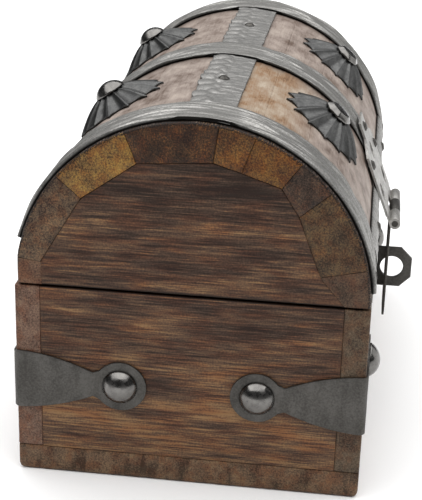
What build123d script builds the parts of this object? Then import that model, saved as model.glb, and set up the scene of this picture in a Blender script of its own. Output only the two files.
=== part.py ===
from build123d import *

import os
from math import asin, cos, pi, radians, sin

os.makedirs("parts", exist_ok=True)

# Treasure chest box: a small wooden chest with an arched stave lid, iron straps,
# pleated rosettes, corner brackets, two butt hinges and a hasp with a padlock eye.
# Millimetres. X runs along the chest, the front faces -Y, and the chest stands on Z = 0.

# Box
box_length = 180.0
box_width = 110.0
base_height = 65.0
wall = 8.0
bottom_thickness = 9.0
seam_gap = 0.8
edge_round = 0.8

# Lid: angles count up from the lid's front edge, about the middle of its lower edge
lid_side_inset = 0.3
stave_thickness = 11.5
joint_angles = (13.0, 41.0, 54.0, 70.4, 82.3, 112.5, 139.5, 171.0)
joint_thickness_shares = (1.27, 1.09, 0.87, 1.05, 1.01, 0.90, 0.88, 0.65)

# Sheet iron on the lid
sheet = 0.8
sheet_clearance = 0.05
strap_width = 18.3
strap_front_angle = 4.5
strap_back_angle = 165.0
strap_tack_inset_angle = 3.0
ridge_front_angle = 79.5
ridge_back_angle = 95.0
ridge_end_inset = 1.5
joggle_angle = 1.2
joggle_clearance_angle = 0.1
front_strip_low_angle = 4.5
front_strip_high_angle = 15.5
front_strip_bulge = 0.9
front_strip_end_gap = 0.3

# Rosettes
petals = 14
rosette_radius = 15.9
rosette_height = 5.3
rosette_wall = 0.8
rosette_front_angle = 48.5
rosette_back_angle = 125.0
rosette_front_shift = 3.5
rosette_back_shift = -1.5
petal_notch_width = 5.4
petal_notch_top = 1.4
level_height_shares = (-0.6, 0.0, 0.35, 0.68, 1.0)
level_radius_shares = (1.03, 0.98, 0.85, 0.63, 0.36)
valley_share = 0.94

# Corner brackets
bracket_sheet = 0.8
bracket_height = 19.8
bracket_mid_height = 16.2
bracket_mid_reach = 13.0
bracket_neck_height = 8.2
bracket_neck_reach = 24.5
bracket_ring_radius = 8.3
bracket_nail_reach = 33.3
bracket_level = 33.0

# Domed nails
dome_radius = 5.6
dome_height = 3.7
dome_rim = 0.4
shank_radius = 0.9
shank_length = 6.5
rosette_dome_radius = 5.2
rosette_dome_height = 3.4
rosette_flat_top_radius = 3.6
rosette_flat_height = 2.2
rosette_flat_rim = 0.7
rosette_nail_bite = 8.0
nail_clearance = 0.05

# Small tacks
head_flat_count = 8
tack_radius = 1.9
tack_top_radius = 1.1
tack_height = 0.9
tack_rim = 0.2
tack_shank_radius = 0.6
tack_shank_length = 5.0

# Butt hinges
pin_radius = 1.1
pin_clearance = 0.05
knuckle_gap = 0.15
hinge_width = 22.0
hinge_leaf_height = 11.0
hinge_sheet = 0.9
hinge_crank_height = 2.6
hinge_tack_spacing = 13.0
hinge_tack_reach = 7.3

# Hasp leaf: its places are measured along the leaf, up from where it touches the strap
hasp_lean_angle = 21.6
hasp_sheet = 0.8
hasp_leaf_width = 36.0
hasp_leaf_bottom = -18.0
hasp_shoulder = 4.0
hasp_neck = 8.0
hasp_tongue_top = 14.0
hasp_tongue_width = 15.0
hasp_barrel_drop = 22.0
hasp_barrel_length = 33.0
hasp_hole_radius = 3.2
hasp_high_hole = 1.5
hasp_low_holes = -11.5
hasp_low_spread = 20.0
hasp_tack_spread = 27.0
hasp_tongue_tack = 10.6

# Hasp flap: its places are measured down from the barrel
flap_width = 20.0
flap_length = 39.5
flap_corner = 5.0
flap_slot_width = 5.0
flap_slot_start = 13.4
flap_slot_end = 31.4

# Padlock staple
staple_sheet = 1.5
staple_level = 44.0
staple_reach = 14.2
staple_eye_height = 15.0
staple_eye_chamfer = 4.0
staple_hole_reach = 7.0
staple_hole_radius = 4.2
staple_plate_width = 14.0
staple_plate_height = 26.0
staple_plate_sheet = 1.0
staple_plate_round = 2.0
staple_tack_reach = 10.0

# Overrun of every cut
overrun = 1.0

# Sizes that follow from the ones above
half_length = box_length / 2
half_width = box_width / 2
wall_height = base_height - bottom_thickness
inner_width = box_width - 2 * wall
lid_bottom = base_height + seam_gap
wood_radius = half_width - lid_side_inset
strap_radius = wood_radius + sheet
joint_radii = [wood_radius - stave_thickness * share for share in joint_thickness_shares]
bay_width = (box_length - 3 * strap_width) / 2
bay_pitch = bay_width + strap_width
from_below = (Align.CENTER, Align.CENTER, Align.MIN)


def lid_point(radius, angle):
    """A point of the lid's cross-section as (y, z), by its radius and its angle from the front."""
    return (-radius * cos(radians(angle)), lid_bottom + radius * sin(radians(angle)))


def lid_plane(angle, along, radius):
    """A plane lying on the lid at a place along the chest: X along the chest, Z out of the lid."""
    y, z = lid_point(radius, angle)
    outward = (0, -cos(radians(angle)), sin(radians(angle)))
    return Plane(origin=(along, y, z), x_dir=(1, 0, 0), z_dir=outward)


def ring_sector(inner, outer, start, end):
    """A band of the lid's cross-section between two radii and two angles."""
    middle = (start + end) / 2
    with BuildSketch() as band:
        with BuildLine():
            ThreePointArc(lid_point(outer, start), lid_point(outer, middle), lid_point(outer, end))
            Line(lid_point(outer, end), lid_point(inner, end))
            ThreePointArc(lid_point(inner, end), lid_point(inner, middle), lid_point(inner, start))
            Line(lid_point(inner, start), lid_point(outer, start))
        make_face()
    return band.sketch


def drill(places, radius, depth):
    """Nail holes in the piece being made, each one going down from its place."""
    for place in places:
        with Locations(place):
            Cylinder(radius, 2 * depth, mode=Mode.SUBTRACT)


def round_headed_nail(head_radius, head_height, rim, shank, length):
    """A nail whose domed head stands on Z = 0 and whose shank goes down from there."""
    rise = head_height - rim
    ball = (head_radius**2 + rise**2) / (2 * rise)
    half_sweep = asin(head_radius / ball) / 2
    cap_middle = (ball * sin(half_sweep), head_height - ball + ball * cos(half_sweep))
    with BuildPart() as nail:
        with BuildSketch(Plane.XZ):
            with BuildLine():
                Line((0, head_height), (0, -length))
                Line((0, -length), (shank, -length))
                Line((shank, -length), (shank, 0))
                Line((shank, 0), (head_radius, 0))
                Line((head_radius, 0), (head_radius, rim))
                ThreePointArc((head_radius, rim), cap_middle, (0, head_height))
            make_face()
        revolve(axis=Axis.Z)
    return nail.part


def save(piece, name):
    """Labels a finished piece and writes its file."""
    piece.label = name
    export_step(piece, "parts/" + name + ".step")


def save_nails(nail, places, name):
    """One nail at each place, as separate solids of one group."""
    with BuildPart() as group:
        with Locations(*places):
            add(nail)
    save(group.part, name)


# Places of the corner brackets and their nails
corners = {
    "front_left": (-1, -1),
    "front_right": (1, -1),
    "back_left": (-1, 1),
    "back_right": (1, 1),
}


def end_plane(sx, sy, inset, outset=0.0):
    """On an end face: X runs inwards from the corner, Z points out of the box."""
    origin = (sx * (half_length + outset), sy * (half_width - inset), bracket_level)
    return Plane(origin=origin, x_dir=(0, -sy, 0), z_dir=(sx, 0, 0))


def side_plane(sx, sy, inset, outset=0.0):
    """On the front or back face: X runs inwards from the corner, Z points out of the box."""
    origin = (sx * (half_length - inset), sy * (half_width + outset), bracket_level)
    return Plane(origin=origin, x_dir=(-sx, 0, 0), z_dir=(0, sy, 0))


# Places of the nails and tacks on the lid
rosette_places = {
    "rosette_front_left": (rosette_front_angle, rosette_front_shift - bay_pitch / 2),
    "rosette_front_right": (rosette_front_angle, rosette_front_shift + bay_pitch / 2),
    "rosette_back_left": (rosette_back_angle, rosette_back_shift - bay_pitch / 2),
    "rosette_back_right": (rosette_back_angle, rosette_back_shift + bay_pitch / 2),
}
rosette_top = wood_radius + rosette_height
rosette_nails = [(angle, lid_plane(angle, along, rosette_top)) for angle, along in rosette_places.values()]
rosette_nail_length = rosette_height + rosette_nail_bite

ridge_angle = (ridge_front_angle + ridge_back_angle) / 2
ridge_tacks = [(ridge_angle, lid_plane(ridge_angle, sx * bay_pitch / 2, strap_radius)) for sx in (-1, 1)]

front_strip_angle = (front_strip_low_angle + front_strip_high_angle) / 2
front_strip_start = half_length - strap_width - front_strip_end_gap
front_strip_stop = hasp_leaf_width / 2 + front_strip_end_gap
front_strip_length = front_strip_start - front_strip_stop
front_strip_middle = (front_strip_start + front_strip_stop) / 2
front_strip_top = strap_radius + front_strip_bulge
front_strip_tacks = [
    (front_strip_angle, lid_plane(front_strip_angle, sx * front_strip_middle, front_strip_top))
    for sx in (-1, 1)
]

strap_places = {
    "left": strap_width / 2 - half_length,
    "middle": 0.0,
    "right": half_length - strap_width / 2,
}
strap_back_tack_angle = strap_back_angle - strap_tack_inset_angle
strap_front_tack_angle = strap_front_angle + strap_tack_inset_angle
strap_tacks = [
    (strap_back_tack_angle, lid_plane(strap_back_tack_angle, along, strap_radius))
    for along in strap_places.values()
]
strap_tacks += [
    (strap_front_tack_angle, lid_plane(strap_front_tack_angle, strap_places[side], strap_radius))
    for side in ("left", "right")
]

# The hasp leaf lies flat on the middle strap and touches it at the lean angle
hasp_plane = lid_plane(hasp_lean_angle, 0.0, strap_radius + sheet_clearance)
hasp_side = Plane(origin=hasp_plane.origin, x_dir=hasp_plane.y_dir, z_dir=hasp_plane.x_dir)
hasp_knuckle = pin_radius + pin_clearance + hasp_sheet
hasp_knuckle_length = (hasp_barrel_length - 2 * knuckle_gap) / 3
barrel_place = (hasp_plane * Location((0, -hasp_barrel_drop, hasp_knuckle))).position
hasp_tacks = [
    (hasp_lean_angle, hasp_plane * Location((sx * hasp_tack_spread / 2, 0, hasp_sheet))) for sx in (-1, 1)
]
hasp_tacks += [(hasp_lean_angle, hasp_plane * Location((0, hasp_tongue_tack, hasp_sheet)))]

# Places of the butt hinges
hinge_knuckle = pin_radius + pin_clearance + hinge_sheet
hinge_bore = pin_radius + pin_clearance
hinge_knuckle_length = (hinge_width - 2 * knuckle_gap) / 3
hinge_y = half_width + hinge_knuckle
hinge_z = base_height + seam_gap / 2
lid_back_y = lid_point(wood_radius, joint_angles[-1])[0]
hinge_places = {"left": -bay_pitch / 2, "right": bay_pitch / 2}
hinge_tack_columns = [
    along + sx * hinge_tack_spacing / 2 for along in hinge_places.values() for sx in (-1, 1)
]


def hinge_tack_places(face_y, level):
    """Tack places on the back face of the chest at one level, two to a hinge."""
    return [
        Plane(origin=(column, face_y, level), x_dir=(-1, 0, 0), z_dir=(0, 1, 0))
        for column in hinge_tack_columns
    ]


base_hinge_tacks = hinge_tack_places(half_width + hinge_sheet, hinge_z - hinge_tack_reach)
lid_hinge_tacks = hinge_tack_places(lid_back_y + hinge_sheet, hinge_z + hinge_tack_reach)

staple_plane = Plane(origin=(0, -half_width, staple_level), x_dir=(1, 0, 0), z_dir=(0, -1, 0))
staple_tacks = [
    staple_plane * Location((0, sz * staple_tack_reach, staple_plate_sheet)) for sz in (-1, 1)
]

shank_hole = shank_radius + nail_clearance
tack_hole = tack_shank_radius + nail_clearance

# Bottom board: lies under all four walls
with BuildPart() as bottom_board:
    Box(box_length, box_width, bottom_thickness, align=from_below)
    fillet(bottom_board.edges().filter_by(Axis.Z), edge_round)
save(bottom_board.part, "bottom_board")

# Front and back walls: full-length boards whose ends show at the chest's ends
for name, sy in (("front_wall", -1), ("back_wall", 1)):
    with BuildPart() as long_wall:
        with Locations((0, sy * (half_width - wall / 2), bottom_thickness)):
            Box(box_length, wall, wall_height, align=from_below)
        outer_face = long_wall.faces().sort_by(Axis.Y)[0 if sy < 0 else -1]
        fillet(outer_face.edges().filter_by(Axis.Z) + [outer_face.edges().sort_by(Axis.Z)[-1]], edge_round)
        drill([side_plane(sx, sy, bracket_nail_reach) for sx in (-1, 1)], shank_hole, shank_length)
        if sy < 0:
            drill(staple_tacks, tack_hole, tack_shank_length + nail_clearance)
        else:
            drill(base_hinge_tacks, tack_hole, tack_shank_length + nail_clearance)
    save(long_wall.part, name)

# End panels: held between the front and back walls
for name, sx in (("left_end_panel", -1), ("right_end_panel", 1)):
    with BuildPart() as end_panel:
        with Locations((sx * (half_length - wall / 2), 0, bottom_thickness)):
            Box(wall, inner_width, wall_height, align=from_below)
        drill([end_plane(sx, sy, bracket_nail_reach) for sy in (-1, 1)], shank_hole, shank_length)
    save(end_panel.part, name)


def bracket_lobe():
    """One arm of a corner bracket: broad at the corner, narrow at the neck, round at the nail."""
    with BuildSketch() as lobe:
        with BuildLine():
            ThreePointArc(
                (edge_round, bracket_height / 2),
                (bracket_mid_reach, bracket_mid_height / 2),
                (bracket_neck_reach, bracket_neck_height / 2),
            )
            Polyline(
                (bracket_neck_reach, bracket_neck_height / 2),
                (bracket_nail_reach, bracket_neck_height / 2),
                (bracket_nail_reach, -bracket_neck_height / 2),
                (bracket_neck_reach, -bracket_neck_height / 2),
            )
            ThreePointArc(
                (bracket_neck_reach, -bracket_neck_height / 2),
                (bracket_mid_reach, -bracket_mid_height / 2),
                (edge_round, -bracket_height / 2),
            )
            Line((edge_round, -bracket_height / 2), (edge_round, bracket_height / 2))
        make_face()
        with Locations((bracket_nail_reach, 0)):
            Circle(bracket_ring_radius)
            Circle(shank_hole, mode=Mode.SUBTRACT)
    return lobe.sketch


# Corner brackets: one strip of sheet iron bent round each upright corner
for corner, (sx, sy) in corners.items():
    bend_outside = edge_round + bracket_sheet
    bend_x = sx * (half_length - edge_round)
    bend_y = sy * (half_width - edge_round)
    with BuildPart() as bracket:
        for arm_plane in (end_plane(sx, sy, 0), side_plane(sx, sy, 0)):
            with BuildSketch(arm_plane):
                add(bracket_lobe())
            extrude(amount=bracket_sheet)
        with BuildSketch(Plane.XY.offset(bracket_level - bracket_height / 2)):
            with Locations((bend_x, bend_y)):
                Circle(bend_outside)
                Circle(edge_round, mode=Mode.SUBTRACT)
            with Locations((bend_x + sx * bend_outside / 2, bend_y + sy * bend_outside / 2)):
                Rectangle(bend_outside, bend_outside, mode=Mode.INTERSECT)
        extrude(amount=bracket_height)
    save(bracket.part, "corner_bracket_" + corner)

# Domed nails of the corner brackets, two to a bracket
dome_nail = round_headed_nail(dome_radius, dome_height, dome_rim, shank_radius, shank_length)
corner_nail_places = [end_plane(sx, sy, bracket_nail_reach, bracket_sheet) for sx, sy in corners.values()]
corner_nail_places += [side_plane(sx, sy, bracket_nail_reach, bracket_sheet) for sx, sy in corners.values()]
save_nails(dome_nail, corner_nail_places, "corner_nails")

# Padlock staple: a plate on the front wall with an eye standing out of it
with BuildPart() as staple:
    with BuildSketch(staple_plane):
        RectangleRounded(staple_plate_width, staple_plate_height, staple_plate_round)
    extrude(amount=staple_plate_sheet)
    drill(staple_tacks, tack_hole, tack_shank_length)
    with BuildSketch(Plane.YZ.offset(-staple_sheet / 2)):
        with Locations((-half_width - staple_reach / 2, staple_level)):
            eye = Rectangle(staple_reach, staple_eye_height)
        chamfer(eye.vertices().group_by(Axis.X)[0], staple_eye_chamfer)
        with Locations((-half_width - staple_hole_reach, staple_level)):
            Circle(staple_hole_radius, mode=Mode.SUBTRACT)
    extrude(amount=staple_sheet)
save(staple.part, "padlock_staple")


def flat_headed_nail(head_radius, top_radius, rim, head_height, shank, length):
    """A nail with hammered flats round its head and a square shank, the head standing on Z = 0."""
    with BuildPart() as nail:
        with BuildSketch():
            RegularPolygon(head_radius, head_flat_count)
        extrude(amount=rim)
        with BuildSketch(Plane.XY.offset(rim)):
            RegularPolygon(head_radius, head_flat_count)
        with BuildSketch(Plane.XY.offset(head_height)):
            RegularPolygon(top_radius, head_flat_count)
        loft(ruled=True)
        with BuildSketch():
            RegularPolygon(shank, 4)
        extrude(amount=-length)
    return nail.part


# Small tacks: one form for the staple, the hinges and the lid
tack = flat_headed_nail(
    tack_radius, tack_top_radius, tack_rim, tack_height, tack_shank_radius, tack_shank_length
)
save_nails(tack, staple_tacks, "staple_tacks")
save_nails(tack, base_hinge_tacks, "hinge_base_tacks")
save_nails(tack, lid_hinge_tacks, "hinge_lid_tacks")

lid_tacks = ridge_tacks + front_strip_tacks + strap_tacks + hasp_tacks


def drill_lid_nails(start, end):
    """The holes of the nails and tacks whose angles fall within one board of the lid."""
    nails = [place for angle, place in rosette_nails if start < angle < end]
    tacks = [place for angle, place in lid_tacks if start < angle < end]
    drill(nails, shank_hole, rosette_nail_length + nail_clearance)
    drill(tacks, tack_hole, tack_shank_length + nail_clearance)


# Lid rails: the lowest boards of the lid, 8 mm thick at their lower edges
with BuildPart() as front_rail:
    with BuildSketch(Plane.YZ.offset(-half_length)):
        with BuildLine():
            ThreePointArc(
                lid_point(wood_radius, 0),
                lid_point(wood_radius, joint_angles[0] / 2),
                lid_point(wood_radius, joint_angles[0]),
            )
            Polyline(
                lid_point(wood_radius, joint_angles[0]),
                lid_point(joint_radii[0], joint_angles[0]),
                (-inner_width / 2, lid_bottom),
                lid_point(wood_radius, 0),
            )
        make_face()
    extrude(amount=box_length)
    drill_lid_nails(0, joint_angles[0])
save(front_rail.part, "lid_front_rail")

with BuildPart() as back_rail:
    with BuildSketch(Plane.YZ.offset(-half_length)):
        with BuildLine():
            Polyline(
                lid_point(wood_radius, joint_angles[-1]),
                (lid_back_y, lid_bottom),
                (lid_back_y - wall, lid_bottom),
                lid_point(joint_radii[-1], joint_angles[-1]),
                close=True,
            )
        make_face()
    extrude(amount=box_length)
    drill(lid_hinge_tacks, tack_hole, tack_shank_length + nail_clearance)
save(back_rail.part, "lid_back_rail")

# Lid staves: round outside, flat inside, from the front rail over to the back rail
for number in range(1, len(joint_angles)):
    start = joint_angles[number - 1]
    end = joint_angles[number]
    with BuildPart() as stave:
        with BuildSketch(Plane.YZ.offset(-half_length)):
            with BuildLine():
                ThreePointArc(
                    lid_point(wood_radius, start),
                    lid_point(wood_radius, (start + end) / 2),
                    lid_point(wood_radius, end),
                )
                Polyline(
                    lid_point(wood_radius, end),
                    lid_point(joint_radii[number], end),
                    lid_point(joint_radii[number - 1], start),
                    lid_point(wood_radius, start),
                )
            make_face()
        extrude(amount=box_length)
        drill_lid_nails(start, end)
        if end == joint_angles[-1]:
            drill(lid_hinge_tacks, tack_hole, tack_shank_length + nail_clearance)
    save(stave.part, "lid_stave_" + str(number))

# Lid end panels: fill the arch inside the staves at each end
for name, outer_x in (("lid_left_end_panel", -half_length), ("lid_right_end_panel", half_length - wall)):
    with BuildPart() as arch_panel:
        with BuildSketch(Plane.YZ.offset(outer_x)):
            with BuildLine():
                Polyline(
                    (-inner_width / 2, lid_bottom),
                    *[lid_point(radius, angle) for radius, angle in zip(joint_radii, joint_angles)],
                    (lid_back_y - wall, lid_bottom),
                    close=True,
                )
            make_face()
        extrude(amount=wall)
    save(arch_panel.part, name)

# Ridge strip: runs the length of the lid along its top, under the straps
with BuildPart() as ridge_strip:
    with BuildSketch(Plane.YZ.offset(ridge_end_inset - half_length)):
        add(ring_sector(wood_radius, strap_radius, ridge_front_angle, ridge_back_angle))
    extrude(amount=box_length - 2 * ridge_end_inset)
    drill([place for angle, place in ridge_tacks], tack_hole, sheet + overrun)
save(ridge_strip.part, "ridge_strip")

# Arch straps: over the lid from front to back, stepped up where they cross the ridge strip
step_inner = strap_radius + sheet_clearance
step_outer = step_inner + sheet
step_front = ridge_front_angle - joggle_clearance_angle
step_back = ridge_back_angle + joggle_clearance_angle
for side, along in strap_places.items():
    with BuildPart() as arch_strap:
        with BuildSketch(Plane.YZ.offset(along - strap_width / 2)):
            add(ring_sector(wood_radius, strap_radius, strap_front_angle, strap_back_angle))
            add(ring_sector(wood_radius, step_outer, step_front - joggle_angle, step_back + joggle_angle))
            add(ring_sector(wood_radius - overrun, step_inner, step_front, step_back), mode=Mode.SUBTRACT)
        extrude(amount=strap_width)
        drill([place for angle, place in strap_tacks + hasp_tacks], tack_hole, tack_shank_length)
    save(arch_strap.part, "arch_strap_" + side)

# Front strips: bowed strips low on the lid's front, one in each bay up to the hasp
for name, start_x in (
    ("front_strip_left", -front_strip_start),
    ("front_strip_right", front_strip_stop),
):
    with BuildPart() as front_strip:
        with BuildSketch(Plane.YZ.offset(start_x)):
            with BuildLine():
                for radius in (wood_radius, strap_radius):
                    ThreePointArc(
                        lid_point(radius, front_strip_low_angle),
                        lid_point(radius + front_strip_bulge, front_strip_angle),
                        lid_point(radius, front_strip_high_angle),
                    )
                for angle in (front_strip_low_angle, front_strip_high_angle):
                    Line(lid_point(wood_radius, angle), lid_point(strap_radius, angle))
            make_face()
        extrude(amount=front_strip_length)
        drill([place for angle, place in front_strip_tacks], tack_hole, tack_shank_length)
    save(front_strip.part, name)

save_nails(tack, [place for angle, place in ridge_tacks], "ridge_tacks")
save_nails(tack, [place for angle, place in front_strip_tacks], "front_strip_tacks")
save_nails(tack, [place for angle, place in strap_tacks], "strap_tacks")


def star(radius):
    """A closed star outline: a rib at each full step and a valley half a step on."""
    points = []
    for step in range(2 * petals):
        reach = radius * (valley_share if step % 2 else 1)
        points.append((reach * cos(step * pi / petals), reach * sin(step * pi / petals)))
    with BuildSketch() as outline:
        with BuildLine():
            Polyline(*points, close=True)
        make_face()
    return outline.sketch


# Rosettes: pleated dishes like small umbrellas, their points resting on the round lid
with BuildPart() as petal_notch:
    with BuildSketch(Plane.YZ.offset(rosette_radius / 2)):
        with BuildLine():
            Polyline(
                (-petal_notch_width / 2, -rosette_height - rosette_wall),
                (petal_notch_width / 2, -rosette_height - rosette_wall),
                (0, petal_notch_top),
                close=True,
            )
        make_face()
    extrude(amount=rosette_radius)

with BuildPart() as rosette_form:
    for height_share, radius_share in zip(level_height_shares, level_radius_shares):
        with BuildSketch(Plane.XY.offset(rosette_height * height_share)):
            add(star(rosette_radius * radius_share))
    loft(ruled=True)
    for height_share, radius_share in zip(level_height_shares, level_radius_shares):
        with BuildSketch(Plane.XY.offset(rosette_height * height_share - rosette_wall)):
            add(star(rosette_radius * radius_share - rosette_wall))
    loft(ruled=True, mode=Mode.SUBTRACT)
    with PolarLocations(0, petals, start_angle=180 / petals):
        add(petal_notch.part, mode=Mode.SUBTRACT)
    with Locations((0, 0, -wood_radius)):
        Cylinder(
            wood_radius + sheet_clearance, 3 * rosette_radius, rotation=(0, 90, 0), mode=Mode.SUBTRACT
        )
    Cylinder(shank_hole, 3 * rosette_height, mode=Mode.SUBTRACT)

for name, (angle, along) in rosette_places.items():
    save(lid_plane(angle, along, wood_radius).location * rosette_form.part, name)

# Rosette nails: hammered flat on the front rosettes, domed on the back ones
front_rosette_nail = flat_headed_nail(
    rosette_dome_radius,
    rosette_flat_top_radius,
    rosette_flat_rim,
    rosette_flat_height,
    shank_radius,
    rosette_nail_length,
)
back_rosette_nail = round_headed_nail(
    rosette_dome_radius, rosette_dome_height, dome_rim, shank_radius, rosette_nail_length
)
with BuildPart() as rosette_nail_group:
    with Locations(*[place for angle, place in rosette_nails if angle == rosette_front_angle]):
        add(front_rosette_nail)
    with Locations(*[place for angle, place in rosette_nails if angle == rosette_back_angle]):
        add(back_rosette_nail)
save(rosette_nail_group.part, "rosette_nails")

# Butt hinges: the base leaf has the two outer knuckles, the lid leaf the middle one
for side, along in hinge_places.items():
    leaf_left = along - hinge_width / 2
    middle_length = hinge_knuckle_length + 2 * knuckle_gap
    clear_of_knuckle = hinge_knuckle + knuckle_gap
    with BuildPart() as base_leaf:
        with BuildSketch(Plane.YZ.offset(leaf_left)):
            with Locations((hinge_y, hinge_z)):
                Circle(hinge_knuckle)
            with Locations((half_width + hinge_sheet / 2, hinge_z - hinge_leaf_height / 2)):
                Rectangle(hinge_sheet, hinge_leaf_height)
            with Locations((hinge_y, hinge_z)):
                Circle(hinge_bore, mode=Mode.SUBTRACT)
        extrude(amount=hinge_width)
        with Locations((along, hinge_y, hinge_z)):
            Box(middle_length, 3 * hinge_knuckle, 2 * clear_of_knuckle, mode=Mode.SUBTRACT)
        drill(base_hinge_tacks, tack_hole, tack_shank_length)
    save(base_leaf.part, "hinge_" + side + "_base_leaf")

    with BuildPart() as lid_leaf:
        with BuildSketch(Plane.YZ.offset(along - hinge_knuckle_length / 2)):
            with Locations((hinge_y, hinge_z)):
                Circle(hinge_knuckle)
            with BuildLine():
                Polyline(
                    (half_width, hinge_z),
                    (half_width + hinge_sheet, hinge_z),
                    (lid_back_y + hinge_sheet, hinge_z + hinge_crank_height),
                    (lid_back_y, hinge_z + hinge_crank_height),
                    close=True,
                )
            make_face()
            with Locations((hinge_y, hinge_z)):
                Circle(hinge_bore, mode=Mode.SUBTRACT)
        extrude(amount=hinge_knuckle_length)
        with Locations((along, lid_back_y + hinge_sheet / 2, hinge_z + hinge_crank_height)):
            Box(hinge_width, hinge_sheet, hinge_leaf_height - hinge_crank_height, align=from_below)
        drill(lid_hinge_tacks, tack_hole, tack_shank_length)
    save(lid_leaf.part, "hinge_" + side + "_lid_leaf")

    with BuildPart() as hinge_pin:
        with Locations((along, hinge_y, hinge_z)):
            Cylinder(pin_radius, hinge_width, rotation=(0, 90, 0))
    save(hinge_pin.part, "hinge_" + side + "_pin")

# Hasp leaf: a flat plate with three round holes, rolled into the outer knuckles at its lower edge
with BuildPart() as hasp_leaf:
    with BuildSketch(hasp_plane):
        with BuildLine():
            Polyline(
                (-hasp_leaf_width / 2, hasp_leaf_bottom),
                (hasp_leaf_width / 2, hasp_leaf_bottom),
                (hasp_leaf_width / 2, hasp_shoulder),
                (hasp_tongue_width / 2, hasp_neck),
                (hasp_tongue_width / 2, hasp_tongue_top),
                (-hasp_tongue_width / 2, hasp_tongue_top),
                (-hasp_tongue_width / 2, hasp_neck),
                (-hasp_leaf_width / 2, hasp_shoulder),
                close=True,
            )
        make_face()
        with Locations(
            (0, hasp_high_hole),
            (-hasp_low_spread / 2, hasp_low_holes),
            (hasp_low_spread / 2, hasp_low_holes),
        ):
            Circle(hasp_hole_radius, mode=Mode.SUBTRACT)
    extrude(amount=hasp_sheet)
    for sx in (-1, 1):
        knuckle_middle = sx * (hasp_knuckle_length + knuckle_gap)
        with BuildSketch(hasp_side.offset(knuckle_middle - hasp_knuckle_length / 2)):
            with Locations((-hasp_barrel_drop, hasp_knuckle)):
                Circle(hasp_knuckle)
            with Locations(((hasp_leaf_bottom - hasp_barrel_drop) / 2, hasp_sheet / 2)):
                Rectangle(hasp_barrel_drop + hasp_leaf_bottom, hasp_sheet)
            with Locations((-hasp_barrel_drop, hasp_knuckle)):
                Circle(pin_radius + pin_clearance, mode=Mode.SUBTRACT)
        extrude(amount=hasp_knuckle_length)
    drill([place for angle, place in hasp_tacks], tack_hole, tack_shank_length)
save(hasp_leaf.part, "hasp_leaf")

save_nails(tack, [place for angle, place in hasp_tacks], "hasp_tacks")

with BuildPart() as hasp_pin:
    with Locations((0, barrel_place.Y, barrel_place.Z)):
        Cylinder(pin_radius, hasp_barrel_length, rotation=(0, 90, 0))
save(hasp_pin.part, "hasp_pin")

# Hasp flap: hangs from the middle knuckle, its slot over the padlock eye
flap_top = hasp_knuckle + knuckle_gap
flap_back_y = barrel_place.Y + hasp_knuckle
flap_plane = Plane(origin=(0, flap_back_y, barrel_place.Z), x_dir=(1, 0, 0), z_dir=(0, -1, 0))
with BuildPart() as hasp_flap:
    with BuildSketch(flap_plane):
        with Locations((0, -(flap_top + flap_length) / 2)):
            plate = Rectangle(flap_width, flap_length - flap_top)
        fillet(plate.vertices().group_by(Axis.Y)[0], flap_corner)
        with Locations((0, -(flap_slot_start + flap_slot_end) / 2)):
            SlotOverall(flap_slot_end - flap_slot_start, flap_slot_width, rotation=90, mode=Mode.SUBTRACT)
    extrude(amount=hasp_sheet)
    with BuildSketch(Plane.YZ.offset(-hasp_knuckle_length / 2)):
        with Locations((barrel_place.Y, barrel_place.Z)):
            Circle(hasp_knuckle)
        with Locations((flap_back_y - hasp_sheet / 2, barrel_place.Z - flap_top / 2)):
            Rectangle(hasp_sheet, flap_top)
        with Locations((barrel_place.Y, barrel_place.Z)):
            Circle(pin_radius + pin_clearance, mode=Mode.SUBTRACT)
    extrude(amount=hasp_knuckle_length)
save(hasp_flap.part, "hasp_flap")
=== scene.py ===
# %% [markdown]
# A small treasure chest with an arched lid.
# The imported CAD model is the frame: it says how large every board and strap is and which body it rides on.
# Each cell below dresses one kind of piece, in metres, in the same frame: X runs along the chest, the
# front faces -Y, and the chest stands on Z = 0.

# %% Load the frame
import math

import bmesh
import bpy
import numpy as np
from mathutils import Matrix, Vector


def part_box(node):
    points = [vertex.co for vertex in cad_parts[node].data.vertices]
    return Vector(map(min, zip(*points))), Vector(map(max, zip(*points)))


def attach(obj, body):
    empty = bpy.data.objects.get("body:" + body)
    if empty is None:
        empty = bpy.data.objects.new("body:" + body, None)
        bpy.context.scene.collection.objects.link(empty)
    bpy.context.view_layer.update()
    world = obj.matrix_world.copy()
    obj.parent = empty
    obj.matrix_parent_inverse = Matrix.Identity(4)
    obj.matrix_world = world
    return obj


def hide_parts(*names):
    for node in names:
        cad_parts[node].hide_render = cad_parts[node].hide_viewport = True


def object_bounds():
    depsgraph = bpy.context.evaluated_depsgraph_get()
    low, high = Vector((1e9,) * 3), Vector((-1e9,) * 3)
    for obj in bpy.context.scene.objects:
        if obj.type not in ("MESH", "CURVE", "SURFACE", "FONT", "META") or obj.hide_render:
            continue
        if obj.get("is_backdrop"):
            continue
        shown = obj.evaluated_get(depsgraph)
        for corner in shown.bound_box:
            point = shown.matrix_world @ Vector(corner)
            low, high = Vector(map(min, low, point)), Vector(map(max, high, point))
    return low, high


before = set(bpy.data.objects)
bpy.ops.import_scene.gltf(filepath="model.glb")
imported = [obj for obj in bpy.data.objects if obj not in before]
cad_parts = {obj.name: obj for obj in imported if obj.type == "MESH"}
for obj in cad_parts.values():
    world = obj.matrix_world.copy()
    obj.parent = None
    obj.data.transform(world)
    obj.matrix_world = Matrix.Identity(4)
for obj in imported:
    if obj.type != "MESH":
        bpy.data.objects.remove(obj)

scene = bpy.context.scene
mm = 0.001


def placed(name, data):
    """A new object in the scene, at the origin."""
    made = bpy.data.objects.new(name, data)
    scene.collection.objects.link(made)
    return made


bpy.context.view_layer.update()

# %% [markdown]
# The camera stands at the left end of the chest, a little above it and a little to the front, and it is
# tilted by less than two degrees. A camera could be aimed by an empty, but a matrix made of its right,
# up and backward directions also holds that small tilt.

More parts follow.
